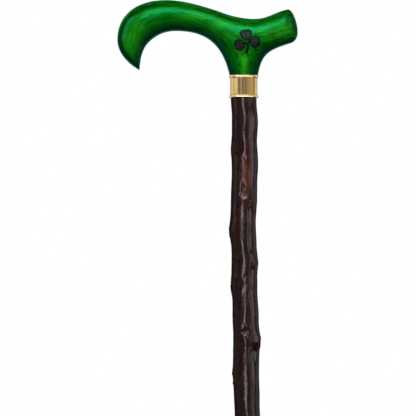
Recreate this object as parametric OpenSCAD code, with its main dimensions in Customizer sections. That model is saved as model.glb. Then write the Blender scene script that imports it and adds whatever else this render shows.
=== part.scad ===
// Derby-handled walking stick: a carved wooden handle and a blackthorn shaft, joined by a hidden stud
// under a brass collar, on a rubber ferrule that pulls off.
// The origin is the centre of the ground face. +Z runs up the shaft, +X points to the handle's tail
// and -Y is the front, which carries the shamrock. All sizes are in millimetres.

/* [Stick] */
// Height of the whole stick, from the ground to the crown of the handle
stick_h = 914; // [760:1:1000]

/* [Handle outline] */
// Height of the crown above the collar
crown_h = 55.5; // [52:0.5:60]
// Distance of the crown in front of the shaft's axis
crown_x = 57; // [52:0.5:62]
// Reach of the nose in front of the shaft's axis
nose_x = 93.5; // [88:0.5:102]
// Height of the nose above the collar
nose_h = 26; // [22:0.5:30]
// Reach of the hook's tip in front of the shaft's axis
tip_x = 77; // [72:0.5:80]
// Height of the hook's tip above the collar
tip_h = 3.5; // [1:0.5:9]
// Reach of the hook's inner bend
bend_x = 70; // [66:0.5:73]
// Height of the hook's inner bend above the collar
bend_h = 24.3; // [20:0.1:27]
// Distance of the arch over the fingers in front of the shaft's axis
arch_x = 50.5; // [46:0.5:55]
// Height of the arch over the fingers above the collar
arch_h = 32.5; // [29:0.5:36]
// Distance of the saddle's front shoulder in front of the shaft's axis
front_shoulder_x = 15.5; // [12:0.5:20]
// Height of the saddle's front shoulder above the collar
front_shoulder_h = 46; // [43:0.5:50]
// Distance of the saddle's back shoulder behind the shaft's axis
back_shoulder_x = 16; // [13:0.5:20]
// Height of the saddle's back shoulder above the collar
back_shoulder_h = 42.7; // [40:0.1:46]
// Distance of the tail's peak behind the shaft's axis
tail_peak_x = 32.5; // [29:0.5:36]
// Height of the tail's peak above the collar
tail_peak_h = 48.5; // [46:0.5:52]
// Reach of the tail behind the shaft's axis
tail_x = 40; // [37:0.5:46]
// Height of the tail's end above the collar
tail_h = 32; // [30:0.5:36]
// Distance of the tail's lower corner behind the shaft's axis
tail_low_x = 34.5; // [31:0.5:37]
// Height of the tail's lower corner above the collar
tail_low_h = 23.4; // [20:0.1:27]

/* [Handle body] */
// Thickness of the handle at the palm
handle_t = 22.5; // [18:0.5:26]
// Diameter of the neck where it meets the collar
neck_d = 21.2; // [20:0.1:24]
// Height over which the round neck runs out into the handle
neck_blend_h = 14; // [8:0.5:20]
// Depth of the dome on the tail's end
tail_dome = 6.5; // [4:0.5:10]
// Length of the spigot that the collar hides
spigot_l = 8; // [5:0.5:12]

/* [Shamrock] */
// Distance of the shamrock's centre behind the shaft's axis
shamrock_x = 2.3; // [0:0.1:5]
// Height of the shamrock's centre above the collar
shamrock_h = 23.3; // [21:0.1:27]
// Length of each leaf
leaf_l = 8; // [6:0.1:8.5]
// Width of each leaf
leaf_w = 8.2; // [6:0.1:8.8]
// Distance from the shamrock's centre to the leaves' points
leaf_gap = 1.2; // [1.1:0.1:2]
// Direction that the top leaf points in
top_leaf_angle = 97; // [92:1:102]
// Direction that the left leaf points in
left_leaf_angle = 200; // [195:1:205]
// Direction that the right leaf points in
right_leaf_angle = 3; // [-1:1:7]
// Drop of the stem below the shamrock's centre
stem_l = 7.6; // [6:0.1:9]
// Width of the stem at its ends
stem_w = 1.7; // [1.2:0.1:2]
// Depth of the engraving under the front at the shamrock's centre
engraving_d = 1.3; // [1:0.1:2]
// Thickness of the black fill in the engraving
fill_t = 0.5; // [0.3:0.1:0.6]

/* [Collar] */
// Height of the collar
collar_h = 17; // [14:0.5:24]
// Diameter of the collar between its beads
collar_d = 20.3; // [19.6:0.1:21]
// Wall of the collar between its beads
collar_wall = 1; // [0.8:0.1:1.3]
// Height of the bead at each end of the collar
bead_h = 2.2; // [1.6:0.1:3]
// Diameter of the collar over its beads
bead_d = 22; // [21.4:0.1:23.5]

/* [Joining stud] */
// Diameter of the stud
stud_d = 8; // [6:0.5:10]
// Length of the stud inside the handle, above the joint
stud_up = 36; // [24:1:42]
// Length of the stud inside the shaft, below the joint
stud_down = 40; // [30:1:60]
// Chamfer on the stud's ends
stud_chamfer = 0.8; // [0.4:0.1:1.2]

/* [Shaft] */
// Diameter of the shaft under the collar
shaft_top_d = 18.7; // [18.6:0.1:22]
// Diameter of the shaft above the ferrule
shaft_low_d = 18.6; // [18.4:0.1:21]
// Sideways bow of the shaft, halfway down
bow_x = 4; // [0:0.1:5]
// Bow of the shaft to the back, a quarter of the way down
bow_y = 1.2; // [0:0.1:4]
// Height of the ripples that run round the bark
ripple_h = 0.25; // [0:0.05:0.5]
// Length of one ripple along the bark
ripple_l = 46; // [30:1:80]
// Length of a knot's slope on its upper side
knot_above = 8; // [6:0.5:14]
// Length of a knot's slope on its lower side
knot_below = 6; // [5:0.5:12]
// Half angle that a knot covers round the shaft
knot_spread = 42; // [30:1:60]
// Distance between the knots on the lower shaft
knot_pitch = 47; // [38:1:70]
// How far the knots on the lower shaft stand out
knot_out = 1.3; // [0.5:0.1:2]
// How far the shaft leans out at each knot of the lower shaft
crook_out = 0.6; // [0:0.1:1]
// Half the length of a crook along the shaft
crook_l = 17; // [12:1:30]
// Length over which the bark runs out to a round end
end_fade = 16; // [10:1:30]

/* [Foot and ferrule] */
// Diameter of the shaft's turned foot
foot_d = 18; // [16:0.1:18.2]
// Depth of the ferrule's socket
socket_d = 33; // [25:1:45]
// Bare foot that shows above the ferrule
foot_show = 1; // [0.5:0.5:5]
// Chamfer at the end of the foot
foot_chamfer = 1; // [0.5:0.1:2]
// Thickness of the ferrule's floor under its washer
floor_t = 10.5; // [8:0.5:14]
// Thickness of the washer
washer_t = 1.5; // [1:0.1:2.5]
// Diameter of the ferrule at the ground
ferrule_base_d = 34; // [31:0.5:42]
// Diameter of the ferrule's body at its waist
ferrule_waist_d = 26; // [24.5:0.5:29]
// Diameter of the ferrule's body under its lip
ferrule_top_d = 24; // [22.5:0.5:26]
// Height of the ferrule's flared foot
flare_h = 16; // [12:0.5:18]
// Height of the flare's upright edge
flare_edge_h = 3; // [2:0.5:5]
// How far the ribs and the lip stand out
rib_out = 0.8; // [0.5:0.1:1.2]
// Height of each rib
rib_h = 2; // [1.5:0.1:2.6]
// Number of ribs on the ferrule's body
rib_count = 4; // [2:1:4]
// Height of the lip at the ferrule's mouth
lip_h = 3; // [2:0.5:4]
// Depth of the tread rings in the ground face
tread_d = 1.6; // [1:0.1:2.5]
// Width of the tread rings and of the rings between them
tread_w = 2; // [1.5:0.1:2.5]
// Radius of the flat pad in the middle of the ground face
pad_r = 5; // [3:0.5:6]

/* [Fits] */
// Gap round the wooden pegs, the stud and the washer
fit = 0.05; // [0.02:0.01:0.15]
// Gap at the ends of the stud
stud_end_gap = 0.5; // [0.2:0.1:0.8]
// Gap round each piece of the shamrock's fill
fill_fit = 0.05; // [0.02:0.01:0.1]

/* [Hidden] */
$fn = 96;

// Levels up the stick
washer_z = floor_t;
shaft_end_z = washer_z + washer_t;
ferrule_h = shaft_end_z + socket_d;
bark_low_z = ferrule_h + foot_show;
collar_top_z = stick_h - crown_h;
collar_low_z = collar_top_z - collar_h;
joint_z = collar_top_z - spigot_l;

// The pegs of the handle and the shaft share the collar's bore
collar_bore_d = collar_d - 2 * collar_wall;
peg_d = collar_bore_d - 2 * fit;
stud_bore_d = stud_d + 2 * fit;
socket_bore_d = foot_d + 2 * fit;

// Each knot of an outline: x, height, heading, and its reach before and after as shares of the span
top_line = [
    [-tip_x, tip_h, 152, 0, 0.33],
    [-nose_x, nose_h, 90, 0.36, 0.37],
    [-crown_x, crown_h, 0, 0.51, 0.3],
    [-front_shoulder_x, front_shoulder_h, -20, 0.3, 0.29],
    [back_shoulder_x, back_shoulder_h, 17, 0.31, 0.26],
    [tail_peak_x, tail_peak_h, 8, 0.29, 0.22],
    [tail_x, tail_h, -90, 0.33, 0]];
finger_line = [
    [-tip_x, tip_h, 86, 0, 0.38],
    [-bend_x, bend_h, 45, 0.35, 0.33],
    [-arch_x, arch_h, 0, 0.38, 0.4],
    [-neck_d / 2, 0, -77, 0.5, 0]];
back_line = [
    [neck_d / 2, 0, 79, 0, 0.46],
    [tail_low_x, tail_low_h, 17, 0.53, 0.34],
    [tail_x, tail_h, 90, 0.49, 0]];

// Sections along each span of the handle, and points from its top line to its underside
span_steps = 14;
depth_steps = 16;
// How much the sections close up towards the hook's tip
tip_closing = 1.6;
// Sharpness of the edge between the tail's dome and the sides
dome_edge = 4;

// Rings along the shaft and points round it
ring_step = 4.5;
shaft_sides = 20;
// Branches leave a blackthorn two fifths of a turn apart
branch_turn = 144;
// How much the lower knots vary in size, and the turn that the variation makes from knot to knot
knot_vary = 0.35;
knot_vary_turn = 100;
// The knots of the upper shaft: distance below the collar, direction, how far each stands out
upper_knots = [[19, 5, 0.3], [38, 170, 0.5], [53, 15, 0.3], [76, 282, 0.9], [98, 190, 1], [121, 330, 1.1],
    [140, 195, 1.1], [179, 345, 1.5], [206, 180, 1.3]];
last_upper = upper_knots[len(upper_knots) - 1];
// The crooks of the upper shaft: distance below the collar, direction, how far the shaft leans out
upper_crooks = [[16, 0, 0.8], [50, 0, 0.5], [96, 180, 0.9], [132, 180, 0.4]];

// Curves

function heading(a) = [cos(a), sin(a)];

function bezier(p, q, r, s, t) =
    let (u = 1 - t) u * u * u * p + 3 * u * u * t * q + 3 * u * t * t * r + t * t * t * s;

function span(a, b, closing) =
    let (p = [a[0], a[1]], s = [b[0], b[1]], chord = norm(s - p))
    [for (i = [0:span_steps - 1])
        bezier(p, p + chord * a[4] * heading(a[2]), s - chord * b[3] * heading(b[2]), s,
            pow(i / span_steps, closing))];

// The points of an outline. Over 1, closing draws the steps of the first span towards its start.
function outline(knots, closing) =
    let (last = knots[len(knots) - 1])
    concat([for (i = [0:len(knots) - 2]) each span(knots[i], knots[i + 1], i == 0 ? closing : 1)],
        [[last[0], last[1]]]);

function segment_distance(p, a, b) =
    let (ab = b - a, t = max(0, min(1, (p - a) * ab / (ab * ab)))) norm(p - a - t * ab);

function line_distance(p, line) =
    min([for (i = [0:len(line) - 2]) segment_distance(p, line[i], line[i + 1])]);

function smooth(t) = let (c = max(0, min(1, t))) c * c * (3 - 2 * c);

// The handle's body

// The outlines as points: top line to the tail's peak, finger side, back side, collar edge, tail's end
function handle_lines() =
    let (top = outline(top_line, tip_closing), finger = outline(finger_line, tip_closing),
        back = outline(back_line, 1), n = span_steps)
    [[for (i = [0:5 * n]) top[i]],
        finger,
        [for (i = [0:n]) back[i]],
        [[-neck_d / 2, 0], [neck_d / 2, 0]],
        concat([for (i = [5 * n:6 * n]) top[i]], [for (i = [2 * n - 1:-1:n]) back[i]])];

// Depth of a point inside the outline: small near any edge, and level across the middle
function side_depth(p, lines) =
    let (d = [for (i = [0:2]) line_distance(p, lines[i])]) 1 / (1 / d[0] + 1 / d[1] + 1 / d[2]);

// The fullness that gives the palm its thickness
function fullness(lines) =
    let (palm = [-(crown_x + arch_x) / 2, (crown_h + arch_h) / 2])
    handle_t * handle_t / 4 / side_depth(palm, lines);

// Half thickness of the handle at a point of its outline, round at the collar and domed at the tail
function half_thickness(p, lines, full) =
    let (finger = line_distance(p, lines[1]),
        back = line_distance(p, lines[2]),
        end = line_distance(p, lines[4]),
        blend = smooth(line_distance(p, lines[3]) / neck_blend_h),
        side = side_depth(p, lines),
        tail_depth = handle_t * handle_t / 4 / full * end / tail_dome,
        depth = pow(pow(side, -dome_edge) + pow(tail_depth, -dome_edge), -1 / dome_edge))
    sqrt((1 - blend) * finger * back + blend * full * depth);

function shamrock_front() =
    let (lines = handle_lines()) half_thickness([shamrock_x, shamrock_h], lines, fullness(lines));

module handle_body() {
    n = 6 * span_steps;
    m = depth_steps;
    neck = [3 * span_steps, 4 * span_steps];
    lines = handle_lines();
    full = fullness(lines);
    top = outline(top_line, tip_closing);
    collar_edge = [for (i = [1:span_steps - 1]) [-neck_d / 2 * cos(180 * i / span_steps), 0]];
    low = concat(lines[1], collar_edge, outline(back_line, 1));
    grid = [for (i = [1:n - 1]) [for (j = [0:m]) top[i] + (low[i] - top[i]) * (1 - cos(180 * j / m)) / 2]];
    halves = [for (i = [1:n - 1]) [for (j = [0:m])
        j == 0 || (j == m && (i <= neck[0] || i >= neck[1])) ? 0
            : half_thickness(grid[i - 1][j], lines, full)]];
    front = [for (i = [0:n - 2]) for (j = [0:m]) [grid[i][j][0], -halves[i][j], grid[i][j][1]]];
    back = [for (p = front) [p[0], -p[1], p[2]]];
    points = concat(front, back, [[-tip_x, 0, tip_h], [tail_x, 0, tail_h]]);
    tip = 2 * len(front);
    end = tip + 1;
    function f(i, j) = (i - 1) * (m + 1) + j;
    function b(i, j) = halves[i - 1][j] == 0 ? f(i, j) : len(front) + f(i, j);
    sides = [for (i = [1:n - 2]) for (j = [0:m - 1]) each [
        [f(i, j), f(i + 1, j), f(i + 1, j + 1)], [f(i, j), f(i + 1, j + 1), f(i, j + 1)],
        [b(i, j), b(i + 1, j + 1), b(i + 1, j)], [b(i, j), b(i, j + 1), b(i + 1, j + 1)]]];
    ends = [for (j = [0:m - 1]) each [
        [tip, f(1, j), f(1, j + 1)], [tip, b(1, j + 1), b(1, j)],
        [end, f(n - 1, j + 1), f(n - 1, j)], [end, b(n - 1, j), b(n - 1, j + 1)]]];
    collar_seat = concat([for (i = [neck[0]:neck[1]]) f(i, m)],
        [for (i = [neck[1] - 1:-1:neck[0] + 1]) b(i, m)]);
    polyhedron(points, concat(sides, ends, [collar_seat]));
}

module handle() {
    color("forestgreen") translate([0, 0, collar_top_z]) difference() {
        union() {
            handle_body();
            translate([0, 0, -spigot_l]) cylinder(d = peg_d, h = spigot_l + fit);
        }
        translate([0, 0, -spigot_l - fit]) cylinder(d = stud_bore_d, h = stud_up + stud_end_gap + fit);
        engraving(engraving_d + handle_t) {
            leaf(top_leaf_angle, 0);
            leaf(left_leaf_angle, 0);
            leaf(right_leaf_angle, 0);
            stem(0);
        }
    }
}

// The shamrock

// One leaf, round at its far end, with its point towards the shamrock's centre
module leaf(angle, shrink) {
    function rise(t) = 13 * cos(t) - 2.2 * cos(2 * t);
    function share(t) = (rise(t) - rise(180)) / (rise(0) - rise(180));
    function pinch(t) = 1.35 - 0.25 * cos(t);
    w = leaf_w - 2 * shrink;
    l = leaf_l - 2 * shrink;
    rotate(angle - 90) translate([0, leaf_gap + shrink])
        polygon([for (t = [0:10:350])
            [w / 2 * sign(sin(t)) * pow(abs(sin(t)), pinch(t)), l * share(t)]]);
}

// The stem, a bent band with a waist
module stem(shrink) {
    waist = 0.3;
    n = 8;
    route = stem_l * [[0.01, -0.08], [0.14, -0.33], [0.11, -0.66], [-0.08, -1]];
    line = [for (i = [0:n]) bezier(route[0], route[1], route[2], route[3], i / n)];
    half = [for (i = [0:n]) stem_w / 2 * (1 - waist * sin(180 * i / n)) - shrink];
    side = [for (i = [0:n])
        let (d = line[min(n, i + 1)] - line[max(0, i - 1)]) half[i] * [-d[1], d[0]] / norm(d)];
    polygon(concat([for (i = [0:n]) line[i] + side[i]], [for (i = [n:-1:0]) line[i] - side[i]]));
}

// Each child becomes a prism that stands on the floor of the engraving and points to the front
module engraving(height) {
    floor_y = shamrock_front() - engraving_d;
    for (i = [0:$children - 1])
        translate([shamrock_x, -floor_y, shamrock_h]) rotate([90, 0, 0]) linear_extrude(height) children(i);
}

module fill() {
    color("dimgray") translate([0, 0, collar_top_z]) engraving(fill_t) children();
}

module shamrock_top_leaf() {
    fill() leaf(top_leaf_angle, fill_fit);
}

module shamrock_left_leaf() {
    fill() leaf(left_leaf_angle, fill_fit);
}

module shamrock_right_leaf() {
    fill() leaf(right_leaf_angle, fill_fit);
}

module shamrock_stem() {
    fill() stem(fill_fit);
}

// The joint under the collar

module collar() {
    color("goldenrod") translate([0, 0, collar_low_z]) rotate_extrude() collar_profile();
}

module collar_profile() {
    r = collar_d / 2;
    out = (bead_d - collar_d) / 2;
    low_bead = [for (a = [-80:10:80]) [r + out * cos(a), bead_h / 2 + bead_h / 2 * sin(a)]];
    polygon(concat([[collar_bore_d / 2, 0], [r, 0]], low_bead, [[r, bead_h], [r, collar_h - bead_h]],
        [for (p = low_bead) [p[0], p[1] + collar_h - bead_h]],
        [[r, collar_h], [collar_bore_d / 2, collar_h]]));
}

module joining_stud() {
    length = stud_up + stud_down;
    r = stud_d / 2;
    c = stud_chamfer;
    color("silver") translate([0, 0, joint_z - stud_down]) rotate_extrude()
        polygon([[0, 0], [r - c, 0], [r, c], [r, length - c], [r - c, length], [0, length]]);
}

// The shaft

// Every knot down the shaft: height, direction, how far it stands out
function knots() =
    let (last_z = collar_low_z - last_upper[0], room = last_z - bark_low_z - end_fade)
    concat([for (k = upper_knots) [collar_low_z - k[0], k[1], k[2]]],
        [for (i = [1:floor(room / knot_pitch)])
            [last_z - i * knot_pitch, last_upper[1] + i * branch_turn,
                knot_out * (1 + knot_vary * sin(knot_vary_turn * i))]]);

// Angle from one direction to another, the short way round
function turn_between(a, b) = let (turn = (a - b) % 360) min(abs(turn), 360 - abs(turn));

function swelling(z, a, all_knots) =
    let (bumps = [for (k = all_knots)
        let (rise = z - k[0], slope = rise > 0 ? knot_above : knot_below, turn = turn_between(a, k[1]))
        k[2] * exp(-pow(rise / slope, 2) - pow(turn / knot_spread, 2))])
    bumps * [for (bump = bumps) 1];

// The bark's unevenness, whole along the shaft and nothing at its round ends
function uneven(z) = smooth((z - bark_low_z) / end_fade) * smooth((collar_low_z - z) / end_fade);

function bark_radius(z, a, all_knots) =
    let (share = (z - bark_low_z) / (collar_low_z - bark_low_z),
        plain = (shaft_low_d + (shaft_top_d - shaft_low_d) * share) / 2,
        ripple = ripple_h * sin(2 * a + 360 * z / ripple_l) * sin(360 * z / ripple_l / 1.7))
    plain + uneven(z) * (ripple + swelling(z, a, all_knots));

// Every crook down the shaft: height, direction, how far the shaft leans out
function crooks(all_knots) =
    concat([for (c = upper_crooks) [collar_low_z - c[0], c[1], c[2]]],
        [for (i = [len(upper_knots):1:len(all_knots) - 1]) [all_knots[i][0], all_knots[i][1], crook_out]]);

function shaft_centre(z, all_crooks) =
    let (down = (collar_low_z - z) / (collar_low_z - bark_low_z),
        leans = [for (c = all_crooks) c[2] * exp(-pow((z - c[0]) / crook_l, 2)) * heading(c[1])])
    [bow_x * pow(sin(180 * down), 2), bow_y * sin(360 * down)] + uneven(z) * [for (c = leans) 1] * leans;

module bark() {
    rings = round((collar_low_z - bark_low_z) / ring_step);
    all_knots = knots();
    all_crooks = crooks(all_knots);
    points = [for (i = [0:rings]) let (z = bark_low_z + (collar_low_z - bark_low_z) * i / rings)
        for (j = [0:shaft_sides - 1])
            let (a = 360 * j / shaft_sides, r = bark_radius(z, a, all_knots), c = shaft_centre(z, all_crooks))
            [c[0] + r * cos(a), c[1] + r * sin(a), z]];
    function at(i, j) = i * shaft_sides + j % shaft_sides;
    sides = [for (i = [0:rings - 1]) for (j = [0:shaft_sides - 1]) each [
        [at(i, j), at(i + 1, j), at(i + 1, j + 1)], [at(i, j), at(i + 1, j + 1), at(i, j + 1)]]];
    low_end = [for (j = [0:shaft_sides - 1]) at(0, j)];
    top_end = [for (j = [shaft_sides - 1:-1:0]) at(rings, j)];
    polyhedron(points, concat(sides, [low_end, top_end]));
}

module shaft() {
    foot_l = bark_low_z - shaft_end_z;
    color([0.2, 0.11, 0.1]) difference() {
        union() {
            bark();
            translate([0, 0, collar_low_z - fit]) cylinder(d = peg_d, h = joint_z - collar_low_z + fit);
            translate([0, 0, shaft_end_z]) {
                cylinder(d1 = foot_d - 2 * foot_chamfer, d2 = foot_d, h = foot_chamfer);
                translate([0, 0, foot_chamfer]) cylinder(d = foot_d, h = foot_l - foot_chamfer + fit);
            }
        }
        translate([0, 0, joint_z - stud_down - stud_end_gap])
            cylinder(d = stud_bore_d, h = stud_down + stud_end_gap + fit);
    }
}

// The ferrule

function flare(t) =
    bezier([ferrule_base_d / 2, flare_edge_h], [ferrule_base_d / 2, flare_h * 0.6],
        [ferrule_waist_d / 2, flare_h * 0.55], [ferrule_waist_d / 2, flare_h], t);

module ferrule() {
    edge = 1;
    body_top = ferrule_h - lip_h;
    lip_r = ferrule_top_d / 2 + rib_out;
    bore_r = socket_bore_d / 2;
    rib_step = (body_top - flare_h) / (rib_count + 1);
    tread_rings = floor((ferrule_base_d / 2 - edge - pad_r - tread_w) / (2 * tread_w));
    function body_r(z) =
        ferrule_waist_d / 2 + (ferrule_top_d - ferrule_waist_d) / 2 * (z - flare_h) / (body_top - flare_h);
    function rib(z) = [[body_r(z), z - rib_h / 2], [body_r(z) + rib_out, z - rib_h / 4],
        [body_r(z) + rib_out, z + rib_h / 4], [body_r(z), z + rib_h / 2]];
    color([0.13, 0.13, 0.14]) difference() {
        rotate_extrude() polygon(concat(
            [[0, 0], [ferrule_base_d / 2 - edge, 0], [ferrule_base_d / 2, edge]],
            [for (i = [0:8]) flare(i / 8)],
            [for (i = [1:rib_count]) each rib(flare_h + i * rib_step)],
            [[ferrule_top_d / 2, body_top], [lip_r, body_top + edge / 2], [lip_r, ferrule_h - edge],
                [lip_r - edge, ferrule_h], [bore_r + edge, ferrule_h], [bore_r, ferrule_h - edge],
                [bore_r, washer_z], [0, washer_z]]));
        for (i = [0:tread_rings - 1])
            translate([0, 0, -fit]) difference() {
                cylinder(r = pad_r + (2 * i + 1) * tread_w, h = tread_d + fit);
                translate([0, 0, -fit]) cylinder(r = pad_r + 2 * i * tread_w, h = tread_d + 3 * fit);
            }
    }
}

module ferrule_washer() {
    color("lightsteelblue") translate([0, 0, washer_z]) cylinder(d = socket_bore_d - 2 * fit, h = washer_t);
}

handle();
shamrock_top_leaf();
shamrock_left_leaf();
shamrock_right_leaf();
shamrock_stem();
collar();
joining_stud();
shaft();
ferrule();
ferrule_washer();
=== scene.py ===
# Looks of the derby-handled walking stick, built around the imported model

import math

import bmesh
import bpy
import numpy as np
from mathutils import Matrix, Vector, noise


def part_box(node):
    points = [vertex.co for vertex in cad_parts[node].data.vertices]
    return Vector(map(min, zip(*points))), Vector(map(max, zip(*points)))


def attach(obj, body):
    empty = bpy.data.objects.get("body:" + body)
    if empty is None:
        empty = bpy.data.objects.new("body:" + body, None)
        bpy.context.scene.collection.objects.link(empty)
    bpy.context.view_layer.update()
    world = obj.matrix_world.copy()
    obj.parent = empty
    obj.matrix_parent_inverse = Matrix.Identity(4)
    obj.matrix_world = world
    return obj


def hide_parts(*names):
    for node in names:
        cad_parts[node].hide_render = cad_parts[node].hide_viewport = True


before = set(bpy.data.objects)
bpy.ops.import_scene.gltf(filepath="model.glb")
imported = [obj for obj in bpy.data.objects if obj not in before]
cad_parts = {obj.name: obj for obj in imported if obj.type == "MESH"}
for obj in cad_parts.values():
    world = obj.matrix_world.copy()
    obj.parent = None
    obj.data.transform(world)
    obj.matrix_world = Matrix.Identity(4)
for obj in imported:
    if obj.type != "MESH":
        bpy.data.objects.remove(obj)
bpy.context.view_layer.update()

# Lengths are in millimetres up to the meshes, which are in metres
MM = 0.001


def node_box(name):
    low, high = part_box(name)
    return [c / MM for c in low], [c / MM for c in high]


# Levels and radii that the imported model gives
collar_low, collar_high = node_box("collar")
shaft_low, shaft_high = node_box("shaft")
ferrule_high = node_box("ferrule")[1]
washer_low = node_box("ferrule_washer")[0]
COLLAR_LOW_Z = collar_low[2]
COLLAR_TOP_Z = collar_high[2]
COLLAR_H = COLLAR_TOP_Z - COLLAR_LOW_Z
BEAD_R = collar_high[0]
SHAFT_END_Z = shaft_low[2]
JOINT_Z = shaft_high[2]
FERRULE_H = ferrule_high[2]
FERRULE_BASE_R = ferrule_high[0]
WASHER_Z = washer_low[2]

# Sizes that are the same as in the part's source
FIT = 0.05
NECK_R = 10.6
PEG_R = 9.1
HANDLE_T = 22.5
NECK_BLEND = 14
TAIL_DOME = 6.5
DOME_EDGE = 4
TIP_CLOSING = 1.6
BEAD_H = 2.2
BEAD_OUT = 0.85
FOOT_SHOW = 1
FOOT_CHAMFER = 1
FOOT_R = 9
BARK_LOW_Z = FERRULE_H + FOOT_SHOW

# Each knot of an outline: x, height over the collar, heading, reach before and after
TOP_LINE = [(-77, 3.5, 152, 0, 0.33), (-93.5, 26, 90, 0.36, 0.37), (-57, 55.5, 0, 0.51, 0.3),
            (-15.5, 46, -20, 0.3, 0.29), (16, 42.7, 17, 0.31, 0.26), (32.5, 48.5, 8, 0.29, 0.22),
            (40, 32, -90, 0.33, 0)]
FINGER_LINE = [(-77, 3.5, 86, 0, 0.38), (-70, 24.3, 45, 0.35, 0.33), (-50.5, 32.5, 0, 0.38, 0.4),
               (-NECK_R, 0, -77, 0.5, 0)]
BACK_LINE = [(NECK_R, 0, 79, 0, 0.46), (34.5, 23.4, 17, 0.53, 0.34), (40, 32, 90, 0.49, 0)]
TOP_SPANS = len(TOP_LINE) - 1
FINGER_SPANS = len(FINGER_LINE) - 1
# The knots over and under the palm
CROWN = TOP_LINE[2]
ARCH = FINGER_LINE[2]
# Steps along each span, and from the top line to the line opposite
SPAN_STEPS = 40
DEPTH_STEPS = 56
# Unevenness of the carving: its length, and its height as a share of the thickness
CARVE_L = 13
CARVE_SHARE = 0.006

# How closely the fibres of the wood follow the nearest edge, and the least distance that counts
FIBRE_HUG = 1.5
FIBRE_NEAR = 0.3
# Lighter stain with painted sheen and highlight: x, height over the collar, half widths and strength
LIGHT_STAIN_AND_SHEEN = [(-34, 42, 11, 3.2, 0.6), (-17, 36.5, 8, 3.6, 0.6), (-77.5, 34.5, 5, 6, 0.45),
               (-82, 23.5, 6.5, 9, 0.6), (0.2, 10.8, 3.3, 4, 1.0), (0, 3.5, 2.3, 8, 0.75),
               (29, 30.5, 12, 5, 0.85), (14, 29.5, 6, 3, 0.55), (-9, 28, 7, 3.5, 0.35),
               (-2, 17.5, 3.5, 3, 0.35)]
# Heights over the collar between which the painted shade, and the fill's painted sheen, change
UNDER_NOSE = (31.5, 18.5)
CROWN_RISE = (27.5, 49.5)
TAIL_UPPER = (41.5, 37.5)
TAIL_LOWER = (27.5, 31.5)
INLAY_RISE = (18.5, 29.5)
# Stretches in x over which the painted shade, or the lacquer, changes
NOSE_STRETCH = (-70, -48)
TAIL_STRETCH = (10, 24)
DULL_TAIL = (4, 18)
# Distances from the handle's edges between which the painted shade and painted reflection change
LOW_SHADE = (0, 11)
LOW_BLUE = (0.8, 4.5)
TOP_SHADE = (2.8, 4.8)
TOP_CLEAR = (0.6, 2.2)
CROWN_CLEAR = 1.5
END_SHADE = (6, 2.5)

# The shamrock
SHAMROCK = np.array([2.3, 23.3])
LEAF_L = 8
LEAF_W = 8.2
LEAF_GAP = 1.2
LEAF_ANGLES = {"top": 97, "left": 200, "right": 3}
# Where the middle of a leaf lies, as a share of its length
LEAF_MIDDLE = 0.56
# Degrees from point to point round a leaf, and rings of its fill
LEAF_STEP = 5
LEAF_RINGS = 18
STEM_L = 7.6
STEM_W = 1.7
# The stem's bends as shares of its length, and how much narrower its middle is
STEM_BENDS = [(0.01, -0.08), (0.14, -0.33), (0.11, -0.66), (-0.08, -1)]
STEM_NARROWING = 0.3
STEM_STEPS = 18
STEM_ROWS = 7
POCKET_D = 1.0
POCKET_CHAMFER = 0.2
CUTTER_PROUD = 0.4
FILL_RECESS = 0.3
FILL_GAP = 0.03
# Depths and widths of what is worked into a fill; the last two are shares of the way to its border
DISH_D = 0.12
STEM_DISH_D = 0.1
VEIN_D = 0.09
VEIN_W = 0.35
GROOVE_D = 0.4
GROOVE_SHARE = 0.22
VEIN_END_SHARE = 0.25
# How far round the fills the wood is darker: at a leaf, where the leaves meet, at the stem's foot
LEAF_HALO_R = 4.7
HEART_HALO_R = 2.7
HEART_OFF = (0.4, 0.8)
FOOT_HALO_R = 1.6
FOOT_OFF = (-0.06, -0.98)
HALO_FADE = 1.0

# The collar's facets, the crease beside each bead, its slightly hollow waist, painted shade in the creases
# and a painted highlight on the beads
COLLAR_SIDES = 144
CREASE_H = 0.3
WAIST_INSET = 3
WAIST_HOLLOW = 0.02
CREASE_SHADE = (BEAD_H + 1.0, BEAD_H + 0.2)
BEAD_HIGHLIGHT = (BEAD_H - 0.1, BEAD_H - 0.8)

# The shaft's knots: distance below the collar, direction, how far each stands out
UPPER_KNOTS = [(19, 5, 0.3), (38, 170, 0.5), (53, 15, 0.3), (76, 282, 0.9), (98, 190, 1),
               (121, 330, 1.1), (140, 195, 1.1), (179, 345, 1.5), (206, 180, 1.3)]
KNOT_PITCH = 47
KNOT_OUT = 1.3
KNOT_VARY = 0.35
KNOT_VARY_TURN = 100
BRANCH_TURN = 144
KNOT_ABOVE = 8
KNOT_BELOW = 6
KNOT_SPREAD = 42
# Its crooks: distance below the collar, direction, how far the shaft leans out
UPPER_CROOKS = [(16, 0, 0.8), (50, 0, 0.5), (96, 180, 0.9), (132, 180, 0.4)]
CROOK_OUT = 0.6
CROOK_L = 17
BOW_X = 4
BOW_Y = 1.2
RIPPLE_H = 0.25
RIPPLE_L = 46
RIPPLE_BEAT = 1.7
END_FADE = 16
# The bark stands a little further out than the solid
SHAFT_TOP_R = 9.55
SHAFT_LOW_R = 9.4
# The radius on which the bark's unevenness is laid out
BARK_R = 9.5
SHAFT_SIDES = 96
RING_STEP = 0.8
# The eye of a knot: its radius and how that grows with the knot, how far it lies below the knot,
# its width to its height, its depth, and the place, width and height of its rim
EYE_R = 1.6
EYE_GROWTH = 1.1
EYE_DROP = 1.5
EYE_WIDTH = 0.85
EYE_D = 0.4
RIM_AT = 1.15
RIM_W = 0.35
RIM_H = 0.22
# How dark an eye is at least, and at most
EYE_PALEST = 0.35
EYE_DARKEST = 0.85
# Rough dark hollows beside the knots: distance below the collar, direction, half height in
# millimetres and half width in degrees
HOLLOWS = [(38, 238, 5, 22), (70, 284, 4.5, 26), (138, 246, 4.5, 26), (173, 268, 3, 14),
           (187, 306, 4.5, 17)]
HOLLOW_D = 0.9
HOLLOW_DARK = 0.55
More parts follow.
